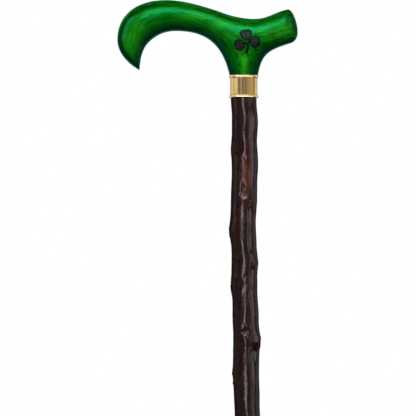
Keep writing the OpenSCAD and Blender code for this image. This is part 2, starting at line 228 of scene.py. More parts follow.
# A redder scar in the bark, given as the hollows are, and its strength
RED_SCAR = (62, 278, 16, 20)
RED_SCAR_STRENGTH = 0.85
# The bark's unevenness: its length round the shaft, that as a share of its length along the shaft,
# and its height
LUMPS = (7, 0.5, 0.24)
DENTS = (2.8, 0.7, 0.07)
RIDGES = (5, 0.14, 0.3)
RIDGE_MEAN = 0.3
FURROWS = (2.2, 0.12, 0.03)
# How far the lumps and dents make a hollow's edge ragged
RAGGED_LUMPS = 0.5
RAGGED_DENTS = 0.8


# Curves


def heading(angle):
    return np.array([math.cos(math.radians(angle)), math.sin(math.radians(angle))])


def bezier(p, q, r, s, t):
    t = np.asarray(t, float)[:, None]
    u = 1 - t
    return u ** 3 * p + 3 * u * u * t * q + 3 * u * t * t * r + t ** 3 * s


def span(a, b, steps, closing):
    p = np.array(a[:2], float)
    s = np.array(b[:2], float)
    chord = np.linalg.norm(s - p)
    q = p + chord * a[4] * heading(a[2])
    r = s - chord * b[3] * heading(b[2])
    return bezier(p, q, r, s, (np.arange(steps) / steps) ** closing)


def outline(knots, steps, closing):
    spans = []
    for i in range(len(knots) - 1):
        spans.append(span(knots[i], knots[i + 1], steps, closing if i == 0 else 1))
    spans.append(np.array([knots[-1][:2]], float))
    return np.vstack(spans)


def line_distance(points, line):
    best = np.full(len(points), np.inf)
    for start, stop in zip(line[:-1], line[1:]):
        along = stop - start
        t = np.clip((points - start) @ along / (along @ along), 0, 1)
        best = np.minimum(best, np.linalg.norm(points - start - t[:, None] * along, axis=1))
    return best


def smooth(t):
    t = np.clip(t, 0, 1)
    return t * t * (3 - 2 * t)


def noise_at(points, scale):
    return np.array([noise.noise(Vector(p)) for p in np.asarray(points) * scale])


# Meshes

# A profile's radius under which it is on the axis, and the most of a side that a round takes up
ON_AXIS = 1e-6
ROUND_SHARE = 0.49


def add_piece(name, points, faces, body, node, material, values=None, sharp=40):
    mesh = bpy.data.meshes.new(name)
    mesh.from_pydata((np.asarray(points) * MM).tolist(), [], [list(map(int, f)) for f in faces])
    for label, data in (values or {}).items():
        set_values(mesh, label, data)
    mesh.validate()
    piece = bpy.data.objects.new(name, mesh)
    bpy.context.scene.collection.objects.link(piece)
    face_outwards(mesh)
    shade(mesh, sharp)
    mesh.materials.append(material)
    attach(piece, body)
    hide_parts(node)
    return piece


def set_values(mesh, label, data):
    # A number at each point of a mesh, for its material
    values = mesh.attributes.new(label, "FLOAT", "POINT").data
    values.foreach_set("value", np.asarray(data, np.float32))


def face_outwards(mesh):
    work = bmesh.new()
    work.from_mesh(mesh)
    bmesh.ops.recalc_face_normals(work, faces=work.faces)
    work.to_mesh(mesh)
    work.free()


def shade(mesh, sharp):
    mesh.polygons.foreach_set("use_smooth", [True] * len(mesh.polygons))
    mesh.set_sharp_from_angle(angle=math.radians(sharp))


def lathe(profile, segments):
    # A profile from the axis back to the axis, or a closed one away from it
    points = []
    rings = []
    for r, z in profile:
        if r < ON_AXIS:
            rings.append([len(points)] * segments)
            points.append((0, 0, z))
        else:
            rings.append(list(range(len(points), len(points) + segments)))
            for k in range(segments):
                a = 2 * math.pi * k / segments
                points.append((r * math.cos(a), r * math.sin(a), z))
    closed = profile[0][0] > ON_AXIS
    pairs = list(zip(rings, rings[1:] + rings[:1])) if closed else list(zip(rings, rings[1:]))
    faces = []
    for low, high in pairs:
        for k in range(segments):
            n = (k + 1) % segments
            corners = []
            for c in (low[k], low[n], high[n], high[k]):
                if c not in corners:
                    corners.append(c)
            if len(corners) > 2:
                faces.append(corners)
    return np.array(points), faces


def rounded(corners, steps=6):
    # Corners of a profile as r, z and the radius of the corner's round
    result = []
    count = len(corners)
    for i, (r, z, fillet) in enumerate(corners):
        here = np.array([r, z], float)
        if fillet == 0 or i in (0, count - 1):
            result.append(tuple(here))
            continue
        before = np.array(corners[i - 1][:2], float) - here
        after = np.array(corners[i + 1][:2], float) - here
        before_l = np.linalg.norm(before)
        after_l = np.linalg.norm(after)
        before /= before_l
        after /= after_l
        half = math.acos(np.clip(before @ after, -1, 1)) / 2
        reach = min(fillet / math.tan(half), ROUND_SHARE * before_l, ROUND_SHARE * after_l)
        start = here + before * reach
        stop = here + after * reach
        for t in np.linspace(0, 1, steps + 1):
            point = (1 - t) ** 2 * start + 2 * t * (1 - t) * here + t * t * stop
            result.append(tuple(point))
    return result


# Shader building


class Shader:
    """Adds nodes to a tree. A value may be a number, a colour or another node's output."""

    def __init__(self, tree):
        self.tree = tree

    def node(self, kind, **settings):
        made = self.tree.nodes.new(kind)
        for key, value in settings.items():
            setattr(made, key, value)
        return made

    def put(self, socket, value):
        if isinstance(value, bpy.types.NodeSocket):
            self.tree.links.new(value, socket)
        elif isinstance(value, tuple) and len(value) == 3 and socket.type == "RGBA":
            socket.default_value = (*value, 1)
        else:
            socket.default_value = value

    def math(self, operation, a, b=0.0):
        made = self.node("ShaderNodeMath", operation=operation)
        self.put(made.inputs[0], a)
        self.put(made.inputs[1], b)
        return made.outputs[0]

    def plus(self, a, b):
        return self.math("ADD", a, b)

    def minus(self, a, b):
        return self.math("SUBTRACT", a, b)

    def times(self, a, b):
        return self.math("MULTIPLY", a, b)

    def larger(self, a, b):
        return self.math("MAXIMUM", a, b)

    def squares(self, a, b):
        return self.plus(self.times(a, a), self.times(b, b))

    def away(self, x, y, place=(0.0, 0.0)):
        # The distance from a place
        off_x = self.minus(x, float(place[0]))
        off_y = self.minus(y, float(place[1]))
        return self.math("SQRT", self.squares(off_x, off_y))

    def mix(self, factor, a, b):
        # The colours of a Mix node are its sockets 6 and 7, and 2 on the way out
        made = self.node("ShaderNodeMix", data_type="RGBA")
        self.put(made.inputs[0], factor)
        self.put(made.inputs[6], a)
        self.put(made.inputs[7], b)
        return made.outputs[2]

    def span(self, value, low, high, to_low=0.0, to_high=1.0):
        made = self.node("ShaderNodeMapRange", interpolation_type="SMOOTHSTEP")
        for socket, number in zip(made.inputs, (value, low, high, to_low, to_high)):
            self.put(socket, number)
        return made.outputs[0]

    def scaled(self, vector, scale):
        made = self.node("ShaderNodeMapping")
        self.put(made.inputs["Vector"], vector)
        made.inputs["Scale"].default_value = scale
        return made.outputs[0]

    def noise(self, vector, scale, detail=2.0, roughness=0.5):
        made = self.node("ShaderNodeTexNoise")
        self.put(made.inputs["Vector"], vector)
        self.put(made.inputs["Scale"], scale)
        self.put(made.inputs["Detail"], detail)
        self.put(made.inputs["Roughness"], roughness)
        return made.outputs[0]

    def drawn_noise(self, vector, scale, detail=2.0, roughness=0.5):
        # Noise with a scale of its own along each axis, so that it can be drawn out along one
        return self.noise(self.scaled(vector, scale), 1.0, detail, roughness)

    def axes(self, vector):
        made = self.node("ShaderNodeSeparateXYZ")
        self.put(made.inputs[0], vector)
        return made.outputs

    def vector(self, x, y, z):
        made = self.node("ShaderNodeCombineXYZ")
        for socket, value in zip(made.inputs, (x, y, z)):
            self.put(socket, value)
        return made.outputs[0]

    def position(self):
        # The point on the piece, in millimetres
        coordinates = self.node("ShaderNodeTexCoord")
        return self.scaled(coordinates.outputs["Object"], (1 / MM, 1 / MM, 1 / MM))

    def attribute(self, name):
        return self.node("ShaderNodeAttribute", attribute_name=name).outputs["Fac"]

    def bump(self, height, distance_mm):
        made = self.node("ShaderNodeBump")
        self.put(made.inputs["Height"], height)
        made.inputs["Distance"].default_value = distance_mm * MM
        made.inputs["Strength"].default_value = 1.0
        return made.outputs[0]

    def group(self, tree, **values):
        made = self.node("ShaderNodeGroup", node_tree=tree)
        for key, value in values.items():
            self.put(made.inputs[key], value)
        return made.outputs


FLOAT = "NodeSocketFloat"
VECTOR = "NodeSocketVector"


def new_group(name, inputs, outputs):
    tree = bpy.data.node_groups.new(name, "ShaderNodeTree")
    for label, kind in inputs:
        tree.interface.new_socket(label, in_out="INPUT", socket_type=kind)
    for label, kind in outputs:
        tree.interface.new_socket(label, in_out="OUTPUT", socket_type=kind)
    return tree, tree.nodes.new("NodeGroupInput"), tree.nodes.new("NodeGroupOutput")


def new_material(name):
    material = bpy.data.materials.new(name)
    material.use_nodes = True
    shader = Shader(material.node_tree)
    return material, shader, material.node_tree.nodes["Principled BSDF"]


def mottle_group():
    # Broad and fine unevenness, each from 0 to 1
    tree, source, result = new_group("mottle", [("Position", VECTOR), ("Size", FLOAT)],
                                     [("Broad", FLOAT), ("Fine", FLOAT)])
    shader = Shader(tree)
    scale = shader.math("DIVIDE", 1.0, source.outputs["Size"])
    broad = shader.noise(source.outputs["Position"], scale, 3.0, 0.55)
    fine_scale = shader.times(scale, 7.0)
    fine = shader.noise(source.outputs["Position"], fine_scale, 4.0, 0.6)
    shader.put(result.inputs["Broad"], shader.span(broad, 0.3, 0.7))
    shader.put(result.inputs["Fine"], shader.span(fine, 0.3, 0.7))
    return tree


def hairline_group():
    # Fine turning lines round the Z axis
    tree, source, result = new_group("hairlines", [("Position", VECTOR)], [("Lines", FLOAT)])
    shader = Shader(tree)
    lines = shader.drawn_noise(source.outputs["Position"], (0.12, 0.12, 9.0), 3.0, 0.6)
    shader.put(result.inputs["Lines"], lines)
    return tree


mottle = mottle_group()
hairlines = hairline_group()


# Finishes

# Green of the lighter stain with its painted sheen and highlight
LIGHT_STAIN_SHEEN_GREEN = (0.03, 0.46, 0.008)
# Dark green of the painted shade towards the handle's edges
PAINTED_SHADE_GREEN = (0.0003, 0.026, 0.009)
# Heights of the ground's dust, and distances over which the floor fades
DUST_RISE = (9, 0)
FLOOR_FADE = (200, 780)


def over_collar(shader, z):
    return shader.minus(z, COLLAR_TOP_Z)


def fibre_noise(shader, fibre, position, across, along, detail, roughness):
    # Noise that runs along the fibres
    x, _, z = shader.axes(position)
    place = shader.vector(shader.times(fibre, across), shader.times(x, along), shader.times(z, along))
    return shader.noise(place, 1.0, detail, roughness)


def wood_grain(shader, position):
    # The grain runs along the handle's form; flow is the same all along one fibre
    drift = shader.drawn_noise(position, (0.05, 0.12, 0.05))
    fibre = shader.plus(shader.attribute("flow"), shader.times(drift, 0.12))
    bands = shader.span(fibre_noise(shader, fibre, position, 26.0, 0.085, 4.0, 0.65), 0.38, 0.62)
    pores = shader.span(fibre_noise(shader, fibre, position, 95.0, 0.17, 2.0, 0.5), 0.52, 0.68)
    return bands, pores


def brighten_stain_and_sheen(shader, green, bands, x, up):
    # Lighter stain with a painted sheen and highlight in some places, most of all between the dark bands
    catch = shader.span(bands, 0.0, 1.0, 0.55, 1.0)
    for bright_x, bright_up, wide, high, strength in LIGHT_STAIN_AND_SHEEN:
        off_x = shader.math("DIVIDE", shader.minus(x, bright_x), wide)
        off_up = shader.math("DIVIDE", shader.minus(up, bright_up), high)
        away = shader.squares(off_x, off_up)
        spot = shader.times(shader.math("EXPONENT", shader.times(away, -1.0)), strength)
        green = shader.mix(shader.times(spot, catch), green, LIGHT_STAIN_SHEEN_GREEN)
    return green


def paint_edge_shade(shader, green, bands, x, up):
    # Painted shade: the stain is painted darker towards the edges, where the two faces meet and turn from the
    # light
    from_low = shader.attribute("low_edge")
    # Round the nose the painted shade is darkest in a line beside the edge, and under the nose up to the edge
    under = shader.span(up, *UNDER_NOSE)
    clear = shader.span(up, *CROWN_RISE, 0.0, CROWN_CLEAR)
    from_top = shader.minus(shader.attribute("top_edge"), clear)
    line = shader.span(from_top, *TOP_SHADE, 1.0, 0.0)
    line = shader.times(line, shader.larger(shader.span(from_top, *TOP_CLEAR), under))
    nose = shader.span(x, *NOSE_STRETCH, 0.85, 0.15)
    tail = shader.span(x, *TAIL_STRETCH, 0.0, 0.4)
    line = shader.times(line, shader.plus(nose, tail))
    # The painted shade's greens, the second one under the nose
    dark = shader.mix(under, (0.0002, 0.034, 0.001), (0.0003, 0.022, 0.009))
    green = shader.mix(line, green, dark)
    green = shader.mix(shader.span(from_low, *LOW_SHADE, 0.7, 0.0), green, PAINTED_SHADE_GREEN)
    # A painted teal reflection right at the lower edge
    teal_reflection = shader.span(from_low, *LOW_BLUE, 0.85, 0.0)
    teal_reflection = shader.times(teal_reflection, shader.span(bands, 0.0, 1.0, 1.0, 0.7))
    green = shader.mix(teal_reflection, green, (0.0006, 0.04, 0.029))
    # The middle of the tail's end has painted shade too
    end = shader.span(shader.attribute("end_edge"), *END_SHADE, 0.0, 0.6)
    end = shader.times(end, shader.span(up, *TAIL_UPPER))
    end = shader.times(end, shader.span(up, *TAIL_LOWER))
    return shader.mix(end, green, PAINTED_SHADE_GREEN)


def stained_wood(inlay_spots):
    material, shader, surface = new_material("green_stained_wood")
    position = shader.position()
    x, y, z = shader.axes(position)
    up = over_collar(shader, z)
    bands, pores = wood_grain(shader, position)
    figure = shader.drawn_noise(position, (0.06, 0.05, 0.09), 2.0, 0.4)
    figure = shader.times(shader.span(figure, 0.45, 0.7), 0.3)
    green = shader.mix(bands, (0.0003, 0.057, 0.0005), (0.0016, 0.19, 0.0016))
    green = shader.mix(figure, green, (0.004, 0.27, 0.003))
    # Painted sheen and highlight on lighter stain
    green = brighten_stain_and_sheen(shader, green, bands, x, up)
    green = shader.mix(shader.times(pores, 0.75), green, (0.0003, 0.022, 0.0004))
    # Painted shade towards the edges
    green = paint_edge_shade(shader, green, bands, x, up)
    # The wood is darker in a halo round the engraving, on the front only
    halo = 0.0
    for place, reach in inlay_spots:
        away = shader.away(x, up, place)
        halo = shader.larger(halo, shader.span(away, reach - HALO_FADE, reach, 0.65, 0.0))
    halo = shader.times(halo, shader.span(y, 0.5, -0.5))
    green = shader.mix(halo, green, (0.001, 0.012, 0.0025))
    shader.put(surface.inputs["Base Color"], green)
    # The lacquer is duller on the tail
    gloss = shader.span(pores, 0.0, 1.0, 0.12, 0.17)
    dull = shader.span(x, *DULL_TAIL, 0.0, 0.13)
    shader.put(surface.inputs["Roughness"], shader.plus(gloss, dull))
    shader.put(surface.inputs["Specular Tint"], (0.02, 1.0, 0.26))
    relief = shader.plus(shader.times(bands, 0.6), shader.times(pores, -0.4))
    shader.put(surface.inputs["Normal"], shader.bump(relief, 0.045))
    return material


def black_fill():
    material, shader, surface = new_material("black_fill")
    position = shader.position()
    uneven = shader.group(mottle, Position=position, Size=2.2)
    # A painted sheen: the fill is paler and bluer towards the top
    fill_sheen = shader.span(over_collar(shader, shader.axes(position)[2]), *INLAY_RISE)
    dark = shader.mix(fill_sheen, (0.0015, 0.0022, 0.0018), (0.012, 0.02, 0.02))
    pale = shader.mix(fill_sheen, (0.03, 0.03, 0.025), (0.036, 0.062, 0.064))
    colour = shader.mix(uneven["Broad"], dark, pale)
    # Painted shade: the fill is blackest in the groove at its border
    colour = shader.mix(shader.attribute("field"), (0.0012, 0.0014, 0.0012), colour)
    shader.put(surface.inputs["Base Color"], colour)
    shader.put(surface.inputs["Roughness"], shader.span(uneven["Fine"], 0.0, 1.0, 0.45, 0.6))
    surface.inputs["Specular IOR Level"].default_value = 0.1
    shader.put(surface.inputs["Normal"], shader.bump(uneven["Fine"], 0.02))
    return material


def polished_brass():
    material, shader, surface = new_material("polished_brass")
    position = shader.position()
    uneven = shader.group(mottle, Position=position, Size=6.0)
    lines = shader.group(hairlines, Position=position)["Lines"]
    colour = shader.mix(uneven["Broad"], (0.78, 0.56, 0.22), (0.86, 0.63, 0.27))
    # The beads are painted paler, a painted highlight, and the crease beside each is darker with painted
    # shade
    from_middle = shader.minus(shader.axes(position)[2], (COLLAR_LOW_Z + COLLAR_TOP_Z) / 2)
    from_end = shader.minus(COLLAR_H / 2, shader.math("ABSOLUTE", from_middle))
    colour = shader.mix(shader.span(from_end, *CREASE_SHADE, 0.0, 0.2), colour, (0.42, 0.27, 0.09))
    colour = shader.mix(shader.span(from_end, *BEAD_HIGHLIGHT), colour, (0.87, 0.72, 0.42))
    shader.put(surface.inputs["Base Color"], colour)
    surface.inputs["Metallic"].default_value = 1.0
    shader.put(surface.inputs["Roughness"], shader.span(uneven["Fine"], 0.0, 1.0, 0.09, 0.14))
    shader.put(surface.inputs["Normal"], shader.bump(lines, 0.002))
    return material


def plated_steel():
    material, shader, surface = new_material("plated_steel")
    position = shader.position()
    uneven = shader.group(mottle, Position=position, Size=4.0)
    lines = shader.group(hairlines, Position=position)["Lines"]
    colour = shader.mix(uneven["Broad"], (0.48, 0.48, 0.50), (0.62, 0.62, 0.63))
    shader.put(surface.inputs["Base Color"], colour)
    surface.inputs["Metallic"].default_value = 1.0
    shader.put(surface.inputs["Roughness"], shader.span(uneven["Fine"], 0.0, 1.0, 0.28, 0.42))
    shader.put(surface.inputs["Normal"], shader.bump(lines, 0.01))
    return material


def blackthorn():
    material, shader, surface = new_material("blackthorn")
    position = shader.position()
    uneven = shader.group(mottle, Position=position, Size=15.0)
    streaks = shader.drawn_noise(position, (0.5, 0.5, 0.13), 4.0, 0.6)
    red = shader.times(shader.span(streaks, 0.42, 0.66), uneven["Broad"])
    colour = shader.mix(red, (0.0125, 0.0045, 0.0043), (0.06, 0.0085, 0.005))
    flecks = shader.drawn_noise(position, (0.9, 0.9, 0.5), 3.0, 0.6)
    dark = shader.span(flecks, 0.52, 0.66)
    colour = shader.mix(shader.times(dark, 0.75), colour, (0.0035, 0.0024, 0.0024))
    pale = shader.span(flecks, 0.42, 0.32)
    colour = shader.mix(shader.times(pale, 0.6), colour, (0.06, 0.03, 0.03))
    scar = shader.mix(dark, (0.14, 0.024, 0.009), (0.012, 0.005, 0.004))
    colour = shader.mix(shader.attribute("scar"), colour, scar)
    colour = shader.mix(shader.attribute("eye"), colour, (0.005, 0.0035, 0.003))
    # The peg and the foot are turned down to the bare wood
    turned = shader.drawn_noise(position, (0.5, 0.5, 0.06), 4.0, 0.6)
    turned = shader.mix(turned, (0.20, 0.10, 0.05), (0.42, 0.25, 0.14))
    colour = shader.mix(shader.attribute("bare"), colour, turned)
    shader.put(surface.inputs["Base Color"], colour)
    # The lacquer is thin and duller in patches, and in the hollows
    dull = shader.drawn_noise(position, (0.17, 0.17, 0.085), 3.0, 0.6)
    dull = shader.larger(shader.span(dull, 0.48, 0.64), shader.attribute("eye"))
    gloss = shader.span(uneven["Fine"], 0.0, 1.0, 0.07, 0.12)
    shader.put(surface.inputs["Roughness"], shader.plus(gloss, shader.times(dull, 0.26)))
    shader.put(surface.inputs["Specular Tint"], (1.0, 0.84, 0.86))
    cracks = shader.drawn_noise(position, (1.1, 1.1, 0.25), 3.0, 0.55)
    grain = shader.drawn_noise(position, (1.0, 1.0, 0.75), 2.0, 0.5)
    relief = shader.plus(shader.times(cracks, 0.6), grain)
    shader.put(surface.inputs["Normal"], shader.bump(relief, 0.04))
    return material


def ferrule_rubber():
    material, shader, surface = new_material("ferrule_rubber")
    position = shader.position()
    uneven = shader.group(mottle, Position=position, Size=9.0)
    colour = shader.mix(uneven["Broad"], (0.014, 0.014, 0.015), (0.026, 0.026, 0.027))
    # Dust from the ground
    dust = shader.times(shader.span(shader.axes(position)[2], *DUST_RISE), uneven["Fine"])
    colour = shader.mix(shader.times(dust, 0.6), colour, (0.11, 0.10, 0.09))
    shader.put(surface.inputs["Base Color"], colour)
    shader.put(surface.inputs["Roughness"], shader.span(uneven["Fine"], 0.0, 1.0, 0.55, 0.78))
    shader.put(surface.inputs["Normal"], shader.bump(uneven["Fine"], 0.05))
    return material


def pale_floor():
    material, shader, surface = new_material("pale_floor")
    position = shader.position()
    uneven = shader.group(mottle, Position=position, Size=220.0)
    colour = shader.mix(uneven["Broad"], (0.80, 0.80, 0.80), (0.84, 0.84, 0.84))
    shader.put(surface.inputs["Base Color"], colour)
    surface.inputs["Roughness"].default_value = 0.7
    # The floor fades out round the stick, and isn't seen from below
    x, y, _ = shader.axes(position)
    fade = shader.span(shader.away(x, y), *FLOOR_FADE)
    below = shader.node("ShaderNodeNewGeometry").outputs["Backfacing"]
    clear = shader.node("ShaderNodeBsdfTransparent")
    blend = shader.node("ShaderNodeMixShader")
    shader.put(blend.inputs[0], shader.larger(fade, below))
    shader.put(blend.inputs[1], surface.outputs[0])
    shader.put(blend.inputs[2], clear.outputs[0])
    output = material.node_tree.nodes["Material Output"]
    shader.put(output.inputs["Surface"], blend.outputs[0])
    return material


# The handle

top_points = outline(TOP_LINE, SPAN_STEPS, TIP_CLOSING)
finger_points = outline(FINGER_LINE, SPAN_STEPS, TIP_CLOSING)
back_points = outline(BACK_LINE, SPAN_STEPS, 1)
# The last span of the top and of the back go round the tail's end
tail_start = (TOP_SPANS - 1) * SPAN_STEPS
top_side = top_points[:tail_start + 1]
back_side = back_points[:SPAN_STEPS + 1]
tail_end = np.vstack([top_points[tail_start:], back_points[SPAN_STEPS:-1][::-1]])
neck_edge = np.array([[-NECK_R, 0], [NECK_R, 0]], float)
# A distance is never quite nothing, so that it can be divided by
LEAST = 1e-9


def side_depth(points):
    total = 0
    for line in (top_side, finger_points, back_side):
        total = total + 1 / np.maximum(line_distance(points, line), LEAST)
    return 1 / total


palm = (np.array([CROWN[:2]]) + np.array([ARCH[:2]])) / 2
FULLNESS = HANDLE_T ** 2 / 4 / side_depth(palm)[0]


def half_thickness(points):
    points = np.asarray(points, float)
    finger = line_distance(points, finger_points)
    back = line_distance(points, back_side)
    end = np.maximum(line_distance(points, tail_end), LEAST)
    blend = smooth(line_distance(points, neck_edge) / NECK_BLEND)
    tail = HANDLE_T ** 2 / 4 / FULLNESS * end / TAIL_DOME
    depth = (side_depth(points) ** -DOME_EDGE + tail ** -DOME_EDGE) ** (-1 / DOME_EDGE)
    return np.sqrt((1 - blend) * finger * back + blend * FULLNESS * depth)


def wood_values(mesh):
    # The fibre that each point lies on, and its distances from the handle's edges in millimetres
    points = np.empty(3 * len(mesh.vertices))
    mesh.vertices.foreach_get("co", points)
    points = points.reshape(-1, 3)[:, (0, 2)] / MM - (0, COLLAR_TOP_Z)
    top = line_distance(points, top_side)
    finger = line_distance(points, finger_points)
    back = line_distance(points, back_side)
    # A fibre at the finger side is 0, one at the back a half and one at the top 1
    pull = [1 / np.maximum(away, FIBRE_NEAR) ** FIBRE_HUG for away in (finger, back, top)]
    set_values(mesh, "flow", (0.5 * pull[1] + pull[2]) / sum(pull))
    set_values(mesh, "low_edge", np.minimum(finger, back))
    set_values(mesh, "top_edge", top)
    set_values(mesh, "end_edge", line_distance(points, tail_end))


def handle_body():
    n = TOP_SPANS * SPAN_STEPS
    m = DEPTH_STEPS
    neck = (FINGER_SPANS * SPAN_STEPS, (FINGER_SPANS + 1) * SPAN_STEPS)
    turn = np.pi * np.arange(1, SPAN_STEPS) / SPAN_STEPS
    collar_edge = np.column_stack([-NECK_R * np.cos(turn), 0 * turn])
    low = np.vstack([finger_points, collar_edge, back_points])
    share = (1 - np.cos(np.pi * np.arange(m + 1) / m)) / 2
    top = top_points[1:n]
    grid = top[:, None, :] + (low[1:n] - top)[:, None, :] * share[None, :, None]
    flat = grid.reshape(-1, 2)
    half = half_thickness(flat).reshape(n - 1, m + 1)
    half[:, 0] = 0
    half[:neck[0], m] = 0
    half[neck[1] - 1:, m] = 0
    carve = noise_at(np.column_stack([flat, 0 * flat[:, 0]]), 1 / CARVE_L).reshape(n - 1, m + 1)
    half = half * (1 + CARVE_SHARE * carve)
    front = np.column_stack([flat[:, 0], -half.ravel(), flat[:, 1]])
    front_at = np.arange(len(front)).reshape(n - 1, m + 1)
    extra = half.ravel() > 0
    back = front[extra] * (1, -1, 1)
    back_at = front_at.copy()
    back_at.ravel()[extra] = len(front) + np.arange(extra.sum())
    tip = len(front) + len(back)
    end = tip + 1
    points = [front, back, [[knot[0], 0, knot[1]] for knot in (TOP_LINE[0], TOP_LINE[-1])]]
    faces = []
    for i in range(n - 2):
        for j in range(m):
            a, b, c, d = (i, j), (i + 1, j), (i + 1, j + 1), (i, j + 1)
            faces.append((front_at[a], front_at[b], front_at[c], front_at[d]))
            faces.append((back_at[a], back_at[d], back_at[c], back_at[b]))
    for j in range(m):
        faces.append((tip, front_at[0, j], front_at[0, j + 1]))
        faces.append((tip, back_at[0, j + 1], back_at[0, j]))
        faces.append((end, front_at[-1, j + 1], front_at[-1, j]))
        faces.append((end, back_at[-1, j], back_at[-1, j + 1]))
    # The seat on the collar and the spigot in it
    ring = list(front_at[neck[0] - 1:neck[1], m]) + list(back_at[neck[0]:neck[1] - 1, m])[::-1]
    seat = np.vstack(points[:2])[ring]
    angle = np.arctan2(seat[:, 1], seat[:, 0])
    count = len(ring)
    start = end + 1
    for level in (0, JOINT_Z - COLLAR_TOP_Z):
        points.append(np.column_stack([PEG_R * np.cos(angle), PEG_R * np.sin(angle), 0 * angle + level]))
    for k in range(count):
        nxt = (k + 1) % count
        faces.append((ring[k], ring[nxt], start + nxt, start + k))
        faces.append((start + k, start + nxt, start + count + nxt, start + count + k))
    faces.append(tuple(range(start + count, start + 2 * count)))
    points = np.vstack(points)
    points[:, 2] += COLLAR_TOP_Z
    return points, faces


# The shamrock


def leaf_rise(t):
    # How far along a leaf its outline is, as on a heart curve
    return 13 * np.cos(t) - 2.2 * np.cos(2 * t)


def leaf_outline(angle, grow):
    # A leaf that is round at its far end, with its point towards the shamrock's centre
    t = np.radians(np.arange(0, 360, LEAF_STEP))
    low = leaf_rise(np.pi)
    high = leaf_rise(0)
    pinch = 1.35 - 0.25 * np.cos(t)
    w = LEAF_W + 2 * grow
    length = LEAF_L + 2 * grow
    x = w / 2 * np.sign(np.sin(t)) * np.abs(np.sin(t)) ** pinch
    y = LEAF_GAP - grow + length * (leaf_rise(t) - low) / (high - low)
    c, s = heading(angle - 90)
    return SHAMROCK + np.column_stack([c * x - s * y, s * x + c * y])


def leaf_middle(angle):
    return SHAMROCK + heading(angle) * (LEAF_GAP + LEAF_MIDDLE * LEAF_L)


def stem_sides(grow):
    t = np.linspace(0, 1, STEM_STEPS + 1)
    line = bezier(*(STEM_L * np.array(STEM_BENDS)), t)
    along = np.gradient(line, axis=0)
    along /= np.linalg.norm(along, axis=1)[:, None]
    across = np.column_stack([-along[:, 1], along[:, 0]])
    half = STEM_W / 2 * (1 - STEM_NARROWING * np.sin(np.pi * t)) + grow
    line[0] -= along[0] * grow
    line[-1] += along[-1] * grow
    return SHAMROCK + line + across * half[:, None], SHAMROCK + line - across * half[:, None]


def stem_outline(grow):
    left, right = stem_sides(grow)
    return np.vstack([left, right[::-1]])


def inlay_spots():
    # Round patches of wood that are darker round the shamrock: middle and radius
    spots = [(leaf_middle(angle), LEAF_HALO_R) for angle in LEAF_ANGLES.values()]
    spots.append((SHAMROCK + HEART_OFF, HEART_HALO_R))
    spots.append((SHAMROCK + STEM_L * np.array(FOOT_OFF), FOOT_HALO_R))
    return spots


def on_front(points, depth):
    # Points at a depth under the handle's front, or above it where the depth is negative
    y = depth - half_thickness(points)
    return np.column_stack([points[:, 0], y, points[:, 1] + COLLAR_TOP_Z])


def cutter(name, shape):
    # A tool that sinks a pocket of a given outline, with a chamfer at the handle's front
    rings = [on_front(shape(0), POCKET_D), on_front(shape(0), POCKET_CHAMFER),
             on_front(shape(POCKET_CHAMFER + CUTTER_PROUD), -CUTTER_PROUD)]
    count = len(rings[0])
    points = np.vstack(rings)
    faces = []
    for i in range(2):
        for k in range(count):
            n = (k + 1) % count
            faces.append((i * count + k, i * count + n, (i + 1) * count + n, (i + 1) * count + k))
    faces.append(tuple(range(2 * count, 3 * count)))
    faces.append(tuple(range(count - 1, -1, -1)))
    mesh = bpy.data.meshes.new(name)
    mesh.from_pydata((points * MM).tolist(), [], faces)
    mesh.materials.append(wood)
    mesh.materials.append(fill)
    # The pocket's walls and floor are black, and what stands over the wood isn't
    black = [1] * 2 * count + [0, 1]
    mesh.polygons.foreach_set("material_index", black)
    face_outwards(mesh)
    made = bpy.data.objects.new(name, mesh)
    bpy.context.scene.collection.objects.link(made)
    return made


def cut(piece, cutters, sharp):
    for tool in cutters:
        step = piece.modifiers.new("pocket", "BOOLEAN")
        step.operation = "DIFFERENCE"
        step.solver = "EXACT"
        step.material_mode = "TRANSFER"
        step.object = tool
    bpy.context.view_layer.update()
    result = bpy.data.meshes.new_from_object(piece.evaluated_get(bpy.context.evaluated_depsgraph_get()))
    piece.modifiers.clear()
    old = piece.data
    piece.data = result
    result.name = piece.name
    bpy.data.meshes.remove(old)
    shade(result, sharp)
    for tool in cutters:
        mesh = tool.data
        bpy.data.objects.remove(tool)
        bpy.data.meshes.remove(mesh)


def leaf_fill(angle):
    shape = leaf_outline(angle, -FILL_GAP)
    middle = leaf_middle(angle)
    axis = heading(angle)
    count = len(shape)
    rings = []
    field = []
    for share in np.linspace(0, 1, LEAF_RINGS + 1)[1:]:
        flat = middle + (shape - middle) * share
        off = np.abs((flat - SHAMROCK) @ np.array([-axis[1], axis[0]]))
        vein = VEIN_D * np.exp(-(off / VEIN_W) ** 2) * smooth((1 - share) / VEIN_END_SHARE)
        groove = smooth((share - 1 + GROOVE_SHARE) / GROOVE_SHARE)
        dish = DISH_D * (1 - share ** 2) + GROOVE_D * groove
        rings.append(on_front(flat, FILL_RECESS + dish + vein))
        field += [1 - groove] * count
    rings.append(on_front(shape, POCKET_D - FIT))
    centre = on_front(np.array([middle]), FILL_RECESS + DISH_D + VEIN_D)
    points = np.vstack(rings + [centre])
    field += [0] * count + [1]
    faces = []
    for k in range(count):
        n = (k + 1) % count
        faces.append((len(points) - 1, n, k))
        for i in range(len(rings) - 1):
            faces.append((i * count + k, i * count + n, (i + 1) * count + n, (i + 1) * count + k))
    last = (len(rings) - 1) * count
    faces.append(tuple(range(last, last + count)))
    return points, faces, {"field": field}


